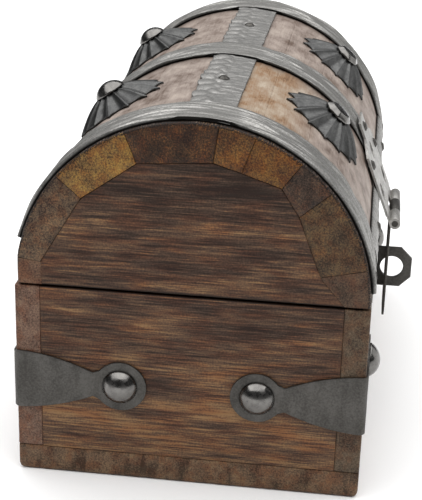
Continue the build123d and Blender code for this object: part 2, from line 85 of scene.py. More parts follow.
# %% Camera
camera_place = Vector((-465.46, -50.59, 232.03)) * mm
camera_forward = Vector((0.9224, 0.1097, -0.3704)).normalized()
camera_tilt = math.radians(1.65)
focal_pixels = 1357.5
long_side_pixels = 500

level_right = camera_forward.cross(Vector((0, 0, 1))).normalized()
level_up = level_right.cross(camera_forward)
right = math.cos(camera_tilt) * level_right + math.sin(camera_tilt) * level_up
up = math.cos(camera_tilt) * level_up - math.sin(camera_tilt) * level_right
camera_data = bpy.data.cameras.new("camera")
camera_data.sensor_width = 36
camera_data.lens = focal_pixels / long_side_pixels * camera_data.sensor_width
camera_data.clip_start = 0.01
camera = placed("camera", camera_data)
turned = Matrix((right, up, -camera_forward)).transposed().to_4x4()
camera.matrix_world = Matrix.Translation(camera_place) @ turned
scene.camera = camera
print("lens in mm:", round(camera_data.lens, 2))

# %% [markdown]
# A finish is a small tree of nodes. One helper adds a node with its settings and links, and the others
# build on it. Hex colours are turned into the linear numbers that the shader wants.

# %% Helpers for finishes
def hexed(code):
    """Linear RGBA of an sRGB hex colour: c / 12.92 below 0.04045, otherwise ((c + 0.055) / 1.055) ** 2.4."""
    shares = [int(code[k : k + 2], 16) / 255 for k in (1, 3, 5)]
    return (*[c / 12.92 if c <= 0.04045 else ((c + 0.055) / 1.055) ** 2.4 for c in shares], 1)


def add(tree, kind, inputs=(), **settings):
    """Adds a node: settings are its own properties, and inputs go to its sockets as values or links."""
    made = tree.nodes.new("ShaderNode" + kind)
    for name, value in settings.items():
        setattr(made, name, value)
    for name, value in dict(inputs).items():
        if isinstance(value, bpy.types.NodeSocket):
            tree.links.new(value, made.inputs[name])
        else:
            made.inputs[name].default_value = value
    return made


def ramp(tree, factor, *stops):
    """A colour ramp: each stop is a place from 0 to 1 and a hex colour."""
    made = add(tree, "ValToRGB", {"Fac": factor})
    while len(made.color_ramp.elements) < len(stops):
        made.color_ramp.elements.new(0.5)
    for element, (place, code) in zip(made.color_ramp.elements, stops):
        element.position = place
        element.color = hexed(code)
    return made.outputs["Color"]


def combined(tree, operation, *values):
    """The outcome of one arithmetic node, such as ADD, or MULTIPLY_ADD: first times second plus third."""
    return add(tree, "Math", dict(enumerate(values)), operation=operation).outputs[0]


def ranged(tree, value, start, stop, low=0.0, high=1.0):
    """A number from low to high that says how far a value has come from start to stop, held at both ends."""
    span = {"Value": value, "From Min": start, "From Max": stop, "To Min": low, "To Max": high}
    return add(tree, "MapRange", span).outputs[0]


def blended(tree, share, first, second, blend="MIX"):
    """The first colour where the share is 0, and the second, or the blend with it, where it is 1."""
    inputs = {0: share, 6: first, 7: second}
    return add(tree, "Mix", inputs, data_type="RGBA", blend_type=blend).outputs[2]


def start_finish(name):
    """A new finish, its tree, its shader and the object coordinates that its patterns lie on."""
    finish = bpy.data.materials.new(name)
    finish.use_nodes = True
    tree = finish.node_tree
    shader = tree.nodes["Principled BSDF"]
    place = add(tree, "TexCoord").outputs["Object"]
    return finish, tree, shader, place


def noise(tree, place, sizes, detail, seed=0.0, rough=0.5):
    """Noise with a mean of a half, in cells of three sizes in mm. The seed moves it to another place."""
    scaled = add(tree, "Mapping", {"Vector": place, "Location": (seed, seed, seed)})
    scaled.inputs["Scale"].default_value = [1000 / size for size in sizes]
    inputs = {"Vector": scaled.outputs[0], "Scale": 1.0, "Detail": detail, "Roughness": rough}
    return add(tree, "TexNoise", inputs).outputs["Fac"]


def close_finish(tree, shader, colour, rough, height, strength, depth):
    """Links a colour, a roughness and a bump of a depth in metres to the shader."""
    bump = add(tree, "Bump", {"Height": height, "Strength": strength, "Distance": depth})
    links = {"Base Color": colour, "Roughness": rough, "Normal": bump.outputs[0]}
    for name, value in links.items():
        tree.links.new(value, shader.inputs[name])


# %% [markdown]
# The floor is plain and pale. The light is a wide soft box overhead, as in a product studio, with a faint
# window low in front, and the room stays dim. That is what puts a bright crescent on top of each domed
# nail, a dark half moon under it, and the pale table below that.

# %% Floor, light and room
floor_half = 6.0
floor_corners = [(x * floor_half, y * floor_half, 0) for x, y in ((-1, -1), (1, -1), (1, 1), (-1, 1))]
floor_mesh = bpy.data.meshes.new("floor")
floor_mesh.from_pydata(floor_corners, [], [(0, 1, 2, 3)])
floor = placed("floor", floor_mesh)
floor_finish, _, shader, _ = start_finish("matt_paper_sweep")
shader.inputs["Base Color"].default_value = hexed("#fbfbfb")
shader.inputs["Roughness"].default_value = 0.9
floor_mesh.materials.append(floor_finish)
floor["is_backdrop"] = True


def soft_light(name, size, energy, place, aim):
    """A square area light of a size in metres and a power in watts, turned so that it looks at a point."""
    light = bpy.data.lights.new(name, "AREA")
    light.shape = "SQUARE"
    light.size = size
    light.energy = energy
    lamp = placed(name, light)
    lamp.location = place
    lamp.rotation_euler = (Vector(aim) - Vector(place)).to_track_quat("-Z", "Y").to_euler()


soft_light("soft_box", 4.0, 130, (0.2, 0.3, 2.0), (0.2, 0.3, 0.0))
soft_light("front_window", 1.2, 5.5, (0.5, -1.3, 0.45), (0.0, 0.0, 0.06))

room = bpy.data.worlds.new("dim_room")
room.use_nodes = True
glow = room.node_tree.nodes["Background"]
glow.inputs["Color"].default_value = hexed("#eef0f2")
glow.inputs["Strength"].default_value = 0.08
scene.world = room
scene.view_settings.view_transform = "Standard"
print("floor and light are in place")

# %% [markdown]
# Nothing on this chest is quite flat or straight. One smooth random landscape serves every piece: it is
# stretched along the grain for wood, along the strap for forged iron, and used evenly for dents.

# %% Uneven surfaces
lattice_side = 64
lattice = np.random.default_rng(11).random((lattice_side, lattice_side, lattice_side))
lattice_start = 17.3
third_place = 5.5


def hills(size, *places, seed=0.0):
    """Smooth random heights from -1 to 1. Each place is divided by a hill's size on its axis, and the eight
    lattice values round it are mixed with weights f * f * (3 - 2 f) of its distance f into the cell. Two
    places are enough: the third is then the same everywhere."""
    parts = np.broadcast_arrays(*[np.asarray(p, float) / s for p, s in zip(places, size)])
    cell = np.stack(parts, axis=-1) + lattice_start + seed
    if cell.shape[-1] == 2:
        cell = np.concatenate([cell, np.full(cell.shape[:-1] + (1,), third_place + seed)], axis=-1)
    low = np.floor(cell).astype(int)
    into = cell - low
    into = into * into * (3 - 2 * into)
    total = np.zeros(cell.shape[:-1])
    for corner in np.ndindex(2, 2, 2):
        x, y, z = np.moveaxis((low + corner) % lattice_side, -1, 0)
        total += np.prod(np.where(corner, into, 1 - into), axis=-1) * lattice[x, y, z]
    return 2 * total - 1


sample = hills((3, 3), np.arange(100.0), 0.0)
print("heights run from", round(sample.min(), 2), "to", round(sample.max(), 2))

# %% [markdown]
# Every board, strap and strip here is a bar: a flat section with rounded edges carried along a line.
# A cube with a bevel would also do for one board, but a bar worked out as a grid can taper, bend over the
# lid, follow a ring round a nail, and carry a relief on its outer face.

# %% A closed skin over a grid, and a bar
def skin(name, rows, body, finish, nodes, marks=None):
    """Joins rows of points, in mm, into one closed surface: point j of row i meets point j + 1 and row
    i + 1, the last point meets the first, and one point in the middle of each end row closes that end.
    marks are values at the points that the finish reads by name."""
    count, around = rows.shape[:2]
    points = np.concatenate([rows.reshape(-1, 3), rows[:1].mean(axis=1), rows[-1:].mean(axis=1)])
    i, j = np.meshgrid(np.arange(count - 1), np.arange(around), indexing="ij")
    after = (j + 1) % around
    here, beyond = i * around, (i + 1) * around
    quads = np.stack([here + j, here + after, beyond + after, beyond + j], -1)
    ring = np.arange(around)
    following = (ring + 1) % around
    first_pole, last_pole = count * around, count * around + 1
    last_row = (count - 1) * around
    start_fan = np.stack([following, ring, np.full(around, first_pole)], -1)
    stop_fan = np.stack([last_row + ring, last_row + following, np.full(around, last_pole)], -1)
    corners = np.concatenate([quads.reshape(-1), start_fan.reshape(-1), stop_fan.reshape(-1)])
    sizes = np.concatenate([np.full(quads.size // 4, 4), np.full(2 * around, 3)])
    mesh = bpy.data.meshes.new(name)
    mesh.vertices.add(len(points))
    mesh.vertices.foreach_set("co", (points * mm).astype(np.float32).ravel())
    mesh.loops.add(len(corners))
    mesh.loops.foreach_set("vertex_index", corners.astype(np.int32))
    mesh.polygons.add(len(sizes))
    mesh.polygons.foreach_set("loop_start", (np.cumsum(sizes) - sizes).astype(np.int32))
    mesh.polygons.foreach_set("use_smooth", np.ones(len(sizes), bool))
    for mark, values in (marks or {}).items():
        layer = mesh.attributes.new(mark, "FLOAT", "POINT")
        both_ends = [values[0].mean(), values[-1].mean()]
        layer.data.foreach_set("value", np.concatenate([values.ravel(), both_ends]).astype(np.float32))
    mesh.update(calc_edges=True)
    mesh.validate()
    mesh.materials.append(finish)
    piece = placed(name, mesh)
    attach(piece, body)
    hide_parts(*nodes)
    return piece


def volume_of(rows):
    """Signed volume inside a closed grid in cubic mm: a sixth of the sum of its faces' triple products."""
    a, b = rows[:-1], np.roll(rows, -1, axis=1)[:-1]
    c, d = np.roll(rows, -1, axis=1)[1:], rows[1:]
    return (np.sum(np.cross(a, b) * c) + np.sum(np.cross(a, c) * d)) / 6


def outward(rows, *others):
    """The rows turned, if need be, so that their faces point out of the closed surface."""
    if volume_of(rows) < 0:
        return [grid[::-1] for grid in (rows, *others)]
    return [rows, *others]


corner_points = 3
round_rings = 5
cap_rings = 3
side_points = 3


def section(across_count, down_count):
    """The outline of a bar's section as four lists. k runs from -1 to 1 across, c from 0 at the outer face
    to 1 at the inner face, and (e, g) are the sine and cosine that round each corner."""
    turn = np.linspace(0, np.pi / 2, corner_points + 2)[1:-1]
    across, down = np.linspace(-1, 1, across_count), np.linspace(0, 1, down_count)
    one, zero = np.ones_like, np.zeros_like
    k = [across, one(turn), one(down), one(turn), across[::-1], -one(turn), -one(down), -one(turn)]
    e = [zero(across), np.sin(turn), one(down), np.cos(turn)]
    e += [zero(across), -np.sin(turn), -one(down), -np.cos(turn)]
    c = [zero(across), zero(turn), down, one(turn), one(across), one(turn), down[::-1], zero(turn)]
    g = [one(across), np.cos(turn), zero(down), -np.sin(turn)]
    g += [-one(across), -np.cos(turn), zero(down), np.sin(turn)]
    return [np.concatenate(part) for part in (k, e, c, g)]


def bar(stations, half, deep, place, step, edge, arris=None, relief=None, wobble=None, down=side_points):
    """Rows of a bar. At each station the section is k (half - edge) + e edge across and goes from 0 down to
    deep. Towards both ends it is rounded: stations are pulled in by arris (1 - cos t), the sides by edge
    (1 - sin t) and the outer face by arris (1 - sin t). Rings that shrink to the middle close the ends.
    place turns (across, out, along) into a point, relief adds height to the outer face, and wobble moves
    the edges, and the points between them with the cube of k. Also returns each point's share in the outer
    face, which is 0 on the other sides and where the ends are rounded."""
    arris = arris or edge
    turn = np.linspace(0, np.pi / 2, round_rings)
    first, last = stations[0], stations[-1]
    inner = stations[(stations > first + arris) & (stations < last - arris)]
    pulled = arris * (1 - np.cos(turn))
    inset_turn = 1 - np.sin(turn)
    shrink = np.linspace(0, 1, cap_rings + 1)[1:-1]
    caps = np.ones(len(shrink))
    along = np.concatenate([first * caps, first + pulled, inner, (last - pulled)[::-1], last * caps])
    inset = np.concatenate([caps, inset_turn, 0 * inner, inset_turn[::-1], caps])[:, None]
    size = np.concatenate([shrink, 0 * turn + 1, 0 * inner + 1, 0 * turn + 1, shrink[::-1]])[:, None]
    s = along[:, None]
    half_here = half(s) if callable(half) else half + 0 * s
    k, e, c, g = section(max(2, int(np.ceil(2 * half_here.max() / step)) + 1), down)
    free = np.maximum(half_here - edge * inset, 0)
    round_here = np.minimum(edge, free)
    a = k * (free - round_here) + e * round_here
    thick = deep(k, s) if callable(deep) else deep + 0 * s + 0 * k
    b = -arris * inset - (c * (thick - (arris + edge) * inset - 2 * edge) + edge) + g * edge
    top = np.clip(1 - c - (1 - np.maximum(g, 0)) * 0.5, 0, 1) * (g > 0)
    if relief is not None:
        b = b + relief(a, s) * top * np.minimum(1, size)
    if wobble is not None:
        a = a + wobble(k, s) * np.abs(k) ** 3
    a = a * size
    b = -thick / 2 + (b + thick / 2) * size
    rows = np.stack(np.broadcast_arrays(*place(a, b, s)), axis=-1)
    return outward(rows, top * (inset < 0.25))


print("a section of 5 by 3 has", len(section(5, 3)[0]), "points")

# %% [markdown]
# The boards are a plain softwood, planed, stained dark walnut and rubbed back so that raised fibres show
# gold. One function makes the finish for boards of any tone. Long thin cells of noise along the grain give
# patches, bands and fibres on the faces. The same cells cut across, with more small round pores, give the
# speckled end grain. Every pattern's mean is a half, so half of each weight is taken off again, and the mean
# tone stays as it is set.

# %% Finish: stained and rubbed softwood
mean_tone = 0.42
patch_weight = 1.3
fibre_weight = 1.3
band_weight = 1.9
pore_weight = 1.5
face_pore_cut = 0.9
red_wash = hexed("#f6dccf")
# Dark brown for soiling beside the straps and for painted shadow under their raised edges.
soil_and_shadow_brown = hexed("#33241b")
# Near-black for the lid's end arris beyond the end straps: a black stain, and painted shadow in the gap
# under the strap edge.
stain_and_shadow_black = hexed("#17120f")


def end_tone_by_height(tree, tone, place, start, stop):
    """The tone of an end panel. It rises by 0.26 from one height in mm down to another, and by 0.4 at the
    panel's upper rim. It falls by 0.8 in the joint between box and lid, 0.9 mm to each side of 65.5 mm, a
    painted shade that darkens the wood beside the seam, and by 0.3 up in the arch."""
    height = add(tree, "SeparateXYZ", {0: place}).outputs["Z"]
    tone = combined(tree, "ADD", tone, ranged(tree, height, start * mm, stop * mm, 0.0, 0.26))
    rim = ranged(tree, height, 64.0 * mm, 64.8 * mm, 0.0, 0.4)
    on_the_box = combined(tree, "LESS_THAN", height, 65.2 * mm)
    tone = combined(tree, "MULTIPLY_ADD", rim, on_the_box, tone)
    # Painted shade: the wood beside the seam is darkened so that the joint between box and lid reads as a
    # shaded gap.
    from_seam = combined(tree, "ABSOLUTE", combined(tree, "SUBTRACT", height, 65.5 * mm))
    tone = combined(tree, "ADD", tone, ranged(tree, from_seam, 0.6 * mm, 0.9 * mm, -0.8, 0.0))
    return combined(tree, "ADD", tone, ranged(tree, height, 92.0 * mm, 106.0 * mm, 0.0, -0.3))


def face_sheen_shade_and_soil(tree, colour, clouds, fibres):
    """A lid board's colour with what its marks say. On the outer face it turns pale in clouds, or in tan
    ones where it is tanned, where old varnish is left: the paleness is a painted sheen that stands for
    studio light reflected at a grazing angle. Beside the straps the hollows of the clouds turn dark brown,
    soiling there and painted shadow under the strap edges, and the end arris turns near-black in fibres, a
    stain and painted shadow."""
    names = ("outside", "tanned", "dirt_and_strap_shadow", "arris_stain_and_shadow")
    marks = [add(tree, "Attribute", attribute_name=name).outputs["Fac"] for name in names]
    outside, tanned, dirt_and_strap_shadow, arris_stain_and_shadow = marks
    tone = combined(tree, "MULTIPLY_ADD", fibres, 0.8, -1.15)
    tone = combined(tree, "MULTIPLY_ADD", clouds, 2.5, tone)
    # Painted sheen: the outer face's pale colours, tan where old varnish is left, stand for studio light
    # reflected at a grazing angle.
    grey = ramp(tree, tone, (0.0, "#5f4f45"), (0.45, "#8a7d75"), (1.0, "#a99c92"))
    tan = ramp(tree, tone, (0.0, "#5f4633"), (0.3, "#896c51"), (0.6, "#968370"), (1.0, "#aa9c8b"))
    # Soiling and painted shadow: beside the straps the hollows of the clouds darken, as under a strap's
    # raised edge.
    dirt_and_shadow = combined(tree, "MULTIPLY", dirt_and_strap_shadow, ranged(tree, clouds, 0.3, 0.55))
    outer_face = blended(tree, dirt_and_shadow, blended(tree, tanned, grey, tan), soil_and_shadow_brown)
    # Painted sheen: the outer face takes the pale colour in place of the light it reflects.
    colour = blended(tree, outside, colour, outer_face)
    # The end arris: stain and painted shadow, in fibres.
    arris_dark_share = combined(tree, "MULTIPLY", ranged(tree, fibres, 0.6, 0.5), arris_stain_and_shadow)
    return blended(tree, arris_dark_share, colour, stain_and_shadow_black)


def rubbed_stain(name, grain, *tones, lighter_below=None, blots=None, face=False):
    """Four tones from the stain in the pores to the gold of rubbed fibres. grain is the axis 0, 1 or 2 it
    runs along. lighter_below gives an end panel's two heights in mm and turns on its tone by height, with
    the painted shade at the seam. blots is the size in mm of spots where spilt stain dried, and face turns
    on the outer face's painted sheen, soiling and painted shadow."""
    finish, tree, shader, place = start_finish(name)

    def streaks(long, wide, detail, seed, rough=0.5):
        """Noise in cells of one length in mm along the grain and one width across it."""
        sizes = [wide, wide, wide]
        sizes[grain] = long
        return noise(tree, place, sizes, detail, seed, rough)

    def weighed(value, weight, rest):
        return combined(tree, "MULTIPLY_ADD", value, weight, rest)

    normal = add(tree, "SeparateXYZ", {0: add(tree, "TexCoord").outputs["Normal"]})
    heading = combined(tree, "ABSOLUTE", normal.outputs["XYZ"[grain]])
    flat_share = ranged(tree, heading, 0.6, 0.8, 1.0, 0.25)

    patches = streaks(30, 6, 2, 1.0)
    bands = streaks(22, 0.75, 3, 2.0, 0.7)
    fibres = streaks(8, 0.32, 2, 3.0, 0.6)
    pores = noise(tree, place, (0.6, 0.6, 0.6), 1, 4.0)
    reds = ranged(tree, streaks(12, 3, 2, 5.0), 0.42, 0.62)
    half_weights = (patch_weight + fibre_weight + pore_weight) / 2
    tone = weighed(patches, patch_weight, weighed(fibres, fibre_weight, mean_tone - half_weights))
    tone = weighed(flat_share, (face_pore_cut - band_weight) / 2, tone)
    tone = weighed(pores, weighed(flat_share, -face_pore_cut, pore_weight), tone)
    tone = weighed(bands, combined(tree, "MULTIPLY", flat_share, band_weight), tone)
    # An end panel's tone by height, with the painted shade beside the seam.
    if lighter_below:
        tone = end_tone_by_height(tree, tone, place, *lighter_below)
    if blots:
        tone = weighed(ranged(tree, noise(tree, place, blots, 2, 6.0), 0.52, 0.62), -0.3, tone)
    colour = ramp(tree, tone, (0.0, tones[0]), (0.36, tones[1]), (0.68, tones[2]), (1.0, tones[3]))
    colour = blended(tree, reds, colour, red_wash, "MULTIPLY")
    # The outer face: a painted sheen, soiling with painted shadow beside the straps, and a stained, shaded
    # end arris.
    if face:
        colour = face_sheen_shade_and_soil(tree, colour, noise(tree, place, (13, 8, 8), 4, 7.0, 0.68), fibres)
    shader.inputs["Specular IOR Level"].default_value = 0.22
    rough = ranged(tree, fibres, 0.0, 1.0, 0.42, 0.66)
    close_finish(tree, shader, colour, rough, weighed(bands, 0.5, fibres), 0.5, 0.0003)
    return finish


end_tones = ("#271b13", "#47352a", "#654c39", "#8f6e4b")
base_tones = ("#413224", "#66513f", "#7a624a", "#8a704f")
back_wood = rubbed_stain("stained_softwood_back", 0, "#46332a", "#695245", "#7d6352", "#90745a")
front_wood = rubbed_stain("stained_softwood_front", 0, "#342a21", "#564839", "#675847", "#7d684f")
end_wood = rubbed_stain("stained_softwood_ends", 1, *end_tones, lighter_below=(54, 26))
base_wood = rubbed_stain("stained_softwood_bottom", 0, *base_tones, blots=(40, 3.4, 14))
print("wood finishes:", back_wood.name, front_wood.name, end_wood.name, base_wood.name)

# %% [markdown]
# The box: a bottom board under four walls. The long walls run the whole length, so their ends show as two
# upright bars of end grain at both sides of the end panel. Small round edges leave the thin dark lines
# between the boards. The bottom board's long lower edges are worn round.

# %% The box's boards
board_step = 1.6
board_edge = 0.3
worn_arris = 1.3
wood_ripple = 0.06


def grain_relief(seed):
    """Shallow waves along the grain, left by planing and handling: long ones, and 0.7 as much short ones."""

    def relief(a, s):
        waves = hills((3.0, 45.0), a, s, seed=seed)
        return wood_ripple * (waves + 0.7 * hills((1.4, 20.0), a, s, seed=seed))

    return relief


def flat_board(node, grain, out, finish, arris, worn_under=0.0):
    """A straight board that fills a node's box: it runs along one axis, its outer face looks along out.
    worn_under, w in mm, rounds the long lower edges: at height z the sides are drawn in by
    w (1 - sqrt(1 - (1 - z / w) ** 2))."""
    low, high = [np.array(corner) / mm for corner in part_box(node)]
    facing = int(np.argmax(np.abs(out)))
    side = 3 - grain - facing
    middle = (low + high) / 2
    face = high[facing] if out[facing] > 0 else low[facing]

    def place(a, b, s):
        point = [0, 0, 0]
        point[grain] = s + 0 * a
        point[side] = middle[side] + a
        point[facing] = face + b * out[facing]
        return point

    stations = np.linspace(low[grain], high[grain], int((high[grain] - low[grain]) / board_step))
    half = (high[side] - low[side]) / 2
    deep = high[facing] - low[facing]
    side_rows = 3 * side_points if worn_under else side_points
    form = {"arris": arris, "relief": grain_relief(len(node)), "down": side_rows}
    rows, _ = bar(stations, half, deep, place, board_step, board_edge, **form)
    rows = np.clip(rows, low, high)
    if worn_under:
        above = np.clip(rows[..., 2] / worn_under, 0, 1)
        rows[..., 1] *= 1 - worn_under * (1 - np.sqrt(1 - (1 - above) ** 2)) / high[1]
    skin(node + "_board", rows, "base", finish, [node])


flat_board("bottom_board", 0, (0, 0, -1), base_wood, worn_arris, worn_under=2.4)
flat_board("front_wall", 0, (0, -1, 0), front_wood, worn_arris / 2)
flat_board("back_wall", 0, (0, 1, 0), back_wood, worn_arris / 2)
flat_board("left_end_panel", 1, (-1, 0, 0), end_wood, board_edge)
flat_board("right_end_panel", 1, (1, 0, 0), end_wood, board_edge)
print("box boards are in place")

# %% [markdown]
# The lid: two low rails, seven staves and an arched panel at each end. A stave's section is worked out
# round the lid's centre line: its outer face lies on the circle, its joints point to the middle, and its
# inner face is the flat chord that a straight board has.

# %% The lid's rails and staves
lid_bottom = 65.8
wood_radius = 54.7
half_length = 90.0
joint_angles = np.array([0.0, 13.0, 41.0, 54.0, 70.4, 82.3, 112.5, 139.5, 171.0])
joint_depth = 11.5
joint_radii = wood_radius - joint_depth * np.array([0.70, 1.27, 1.09, 0.87, 1.05, 1.01, 0.90, 0.88, 0.65])
joint_edge = 0.14
lid_boards = ["lid_front_rail"] + ["lid_stave_%d" % number for number in range(1, 8)]
lid_arris = 1.0
lid_stations = np.linspace(-half_length, half_length, 112)


def lid_place(radius, angle):
    """A point of the lid's section, (y, z), from its radius and its angle from the front in degrees."""
    turn = np.radians(angle)
    return -radius * np.cos(turn), lid_bottom + radius * np.sin(turn)


def on_lid(middle, lift=0.0, bulge=0.0, half=1.0):
    """A place function for a bar along the lid. Across follows the circle from the angle middle, and the
    bar is lifted off the wood's circle by lift + bulge (1 - (a / half) ** 2)."""

    def place(a, b, s):
        out = wood_radius + lift + bulge * (1 - (a / half) ** 2)
        y, z = lid_place(out + b, middle + np.degrees(a / wood_radius))
        return [s + 0 * a, y, z]

    return place


# From the front rail over the staves to the back rail
lid_tones = [
    ("#2f241b", "#4d3c2f", "#604b3c", "#72583e"),
    ("#291f16", "#4b3b2a", "#644e35", "#806239"),
    ("#1d1613", "#3c2f26", "#544134", "#715339"),
    ("#311c10", "#593c20", "#755225", "#906831"),
    ("#322112", "#593e22", "#7a5427", "#956c33"),
    ("#1b1109", "#372517", "#50351f", "#794e24"),
    ("#3a2a18", "#715631", "#916f38", "#a88844"),
    ("#2a1f19", "#534335", "#705a44", "#8b6b4b"),
    ("#402f26", "#634b3b", "#765c48", "#86664a"),
]
strap_centres = {"left": -80.85, "middle": 0.0, "right": 80.85}
strap_half = 9.15
strap_angles = (4.5, 165.0)
# How far the soiling and the painted shadow beside the straps reach, in mm.
soil_and_shadow_reach = 2.4


def smooth(value, start, stop):
    """0 before start, 1 after stop, and t * t * (3 - 2 t) in between."""
    t = np.clip((value - start) / (stop - start), 0, 1)
    return t * t * (3 - 2 * t)


def lid_marks(rows, top):
    """Marks on the outer face, as values from 0 to 1. outside: the outer face, where the painted sheen goes.
    tanned: the left bay's top, where old varnish is left. Beside the straps and beyond their ends a mark
    fades
    with exp(-distance / reach): soiling there, and painted shadow under the strap edges. On the rounded
    arris beyond the end straps a mark blackens the wood: a stain there, and painted shadow under the strap
    edge."""
    x = rows[..., 0]
    radius = np.hypot(rows[..., 1], rows[..., 2] - lid_bottom)
    angle = np.degrees(np.arctan2(rows[..., 2] - lid_bottom, -rows[..., 1]))
    tanned = smooth(angle, 48, 68) * (1 - smooth(angle, 86, 92)) * (1 - smooth(x, -16, 6))
    # Soiling beside the straps, with painted shadow where their raised edges shade the wood.
    beside = np.min([np.abs(x - centre) for centre in strap_centres.values()], axis=0) - strap_half
    beyond = np.radians(np.maximum(strap_angles[0] - angle, angle - strap_angles[1])) * wood_radius
    away = np.hypot(np.maximum(beside, 0), np.maximum(beyond, 0))
    # The end arris beyond the end straps: a black stain with painted shadow under the strap edge.
    arris_stain_and_shadow = smooth(radius, wood_radius - 1.0, wood_radius - 0.7) * smooth(np.abs(x), 87.0, 87.8)
    return {"outside": top, "tanned": tanned, "dirt_and_strap_shadow": np.exp(-away / soil_and_shadow_reach), "arris_stain_and_shadow": arris_stain_and_shadow}


def lid_board(name, tones, start, stop, inner_start, inner_stop):
    """A board of the lid: across follows the circle, and the inner face is the chord between two points.
    With n the chord's unit normal and p a point of it, the chord lies n . p / n . u from the middle in the
    direction u."""
    middle = (start + stop) / 2
    half = np.radians((stop - start) / 2) * wood_radius
    y0, z0 = lid_place(inner_start, start)
    y1, z1 = lid_place(inner_stop, stop)
    normal = np.array([z1 - z0, y0 - y1])
    normal = normal / np.hypot(*normal)
    reach = normal @ (y0, z0 - lid_bottom)

    def deep(k, s):
        y, z = lid_place(1.0, middle + np.degrees(k * half / wood_radius))
        return wood_radius - reach / (normal[0] * y + normal[1] * (z - lid_bottom)) + 0 * s

    form = {"arris": lid_arris, "relief": grain_relief(start)}
    rows, top = bar(lid_stations, half, deep, on_lid(middle), board_step, joint_edge, **form)
    finish = rubbed_stain("stained_softwood_" + name, 0, *tones, face=True)
    skin(name + "_board", rows, "lid", finish, [name], lid_marks(rows, top))


for number, name in enumerate(lid_boards):
    both = slice(number, number + 2)
    lid_board(name, lid_tones[number], *joint_angles[both], *joint_radii[both])
print("lid boards:", len(lid_boards))

# %% [markdown]
# The back rail is upright, because the lid's round ends a little above it. The arched end panels are bars
# that run from front to back and whose height follows the staves' inner faces.

# %% The back rail and the arched end panels
rail_low, rail_high = [np.array(corner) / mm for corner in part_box("lid_back_rail")]
rail_top = lid_place(wood_radius, joint_angles[-1])[1]
rail_inner_top = lid_place(joint_radii[-1], joint_angles[-1])[1]
rail_depth = 7.8
lean_height, lean_depth = 8.6, 8.0


def back_rail_place(a, b, s):
    """Upright outside, and sloping up to the last stave's joint inside."""
    z = (rail_low[2] + rail_top) / 2 + a
    lean = (rail_inner_top - rail_top) * np.clip((z - lid_bottom) / lean_height, 0, 1)
    return [s + 0 * a, rail_high[1] + b, z + lean * (-b / lean_depth)]


rail_half = (rail_top - lid_bottom) / 2
form = {"arris": lid_arris, "relief": grain_relief(8.0)}
rows, top = bar(lid_stations, rail_half, rail_depth, back_rail_place, board_step, joint_edge, **form)
back_finish = rubbed_stain("stained_softwood_back_rail", 0, *lid_tones[-1], face=True)
marks = lid_marks(rows, top)
skin("lid_back_rail_board", rows, "lid", back_finish, ["lid_back_rail"], marks)

arch_front = -47.0
arch_gap = 0.1
arch_depth = 7.9
arch_y, arch_z = lid_place(joint_radii[1:], joint_angles[1:])
arch_y = np.concatenate([[arch_front], arch_y])
arch_z = np.concatenate([[lid_bottom], arch_z])


def arch_half(s):
    """Half the panel's height at a place from front to back."""
    return (np.interp(s, arch_y, arch_z) - lid_bottom) / 2


for side, facing in (("left", -1), ("right", 1)):

    def arch_place(a, b, s, facing=facing):
        """The lower edge is level, and the outer face lies just inside the lid's end."""
        return [facing * (half_length - arch_gap + b), s + 0 * a, lid_bottom + arch_half(s) + a]

    stations = np.linspace(arch_y[0] + arch_gap, arch_y[-1] - arch_gap, 64)
    relief = grain_relief(3.0 + facing)
    rows, _ = bar(stations, arch_half, arch_depth, arch_place, board_step, board_edge, relief=relief)
    node = "lid_%s_end_panel" % side
    skin(node + "_board", rows, "lid", end_wood, [node])
print("arch from y", round(arch_y[0], 1), "to", round(arch_y[-1], 1))

# %% [markdown]
# The iron is bare and dulled with wax: light grey where it is rubbed, darker and duller in the hollows,
# and painted black at the cut sides of the straps and strips, a painted shadow for the dark line under their
# raised edges. The plates, nails and rosettes are darker. The hammered forms are in the mesh, and only the
# finest marks are bump.

# %% Finish: worked iron
# Black for the cut sides of straps and strips: a painted shadow for the dark line under their raised edges.
side_shadow_black = hexed("#1c1b1a")


def forged_iron(name, low, high, rough, depth, fine=0.6, streak=(3.0, 3.0, 3.0), shadow_black_sides=False):
    """Two tones from the oxide in the hollows to the rubbed heights. depth is the bump's in metres, fine the
    grit's size and streak the patches' sizes in mm. Where the outer-face mark is 0, at the cut sides, the
    black-sides option paints the iron black, a painted shadow for the dark line under a strap's raised edge."""
    finish, tree, shader, place = start_finish(name)
    grit = noise(tree, place, (fine, fine, fine), 3)
    both = combined(tree, "ADD", noise(tree, place, streak, 4), grit)
    tone = ranged(tree, both, 0.75, 1.25)
    colour = ramp(tree, tone, (0.0, low), (1.0, high))
    # Painted shadow: off the outer face the iron is black.
    if shadow_black_sides:
        outer_face = add(tree, "Attribute", attribute_name="outer_face").outputs["Fac"]
        colour = blended(tree, outer_face, side_shadow_black, colour)
    shader.inputs["Metallic"].default_value = 1.0
    rough = ranged(tree, tone, 0.0, 1.0, rough + 0.1, rough - 0.06)
    close_finish(tree, shader, colour, rough, both, 0.4, depth)
    return finish


upright = (5.0, 5.0, 14.0)
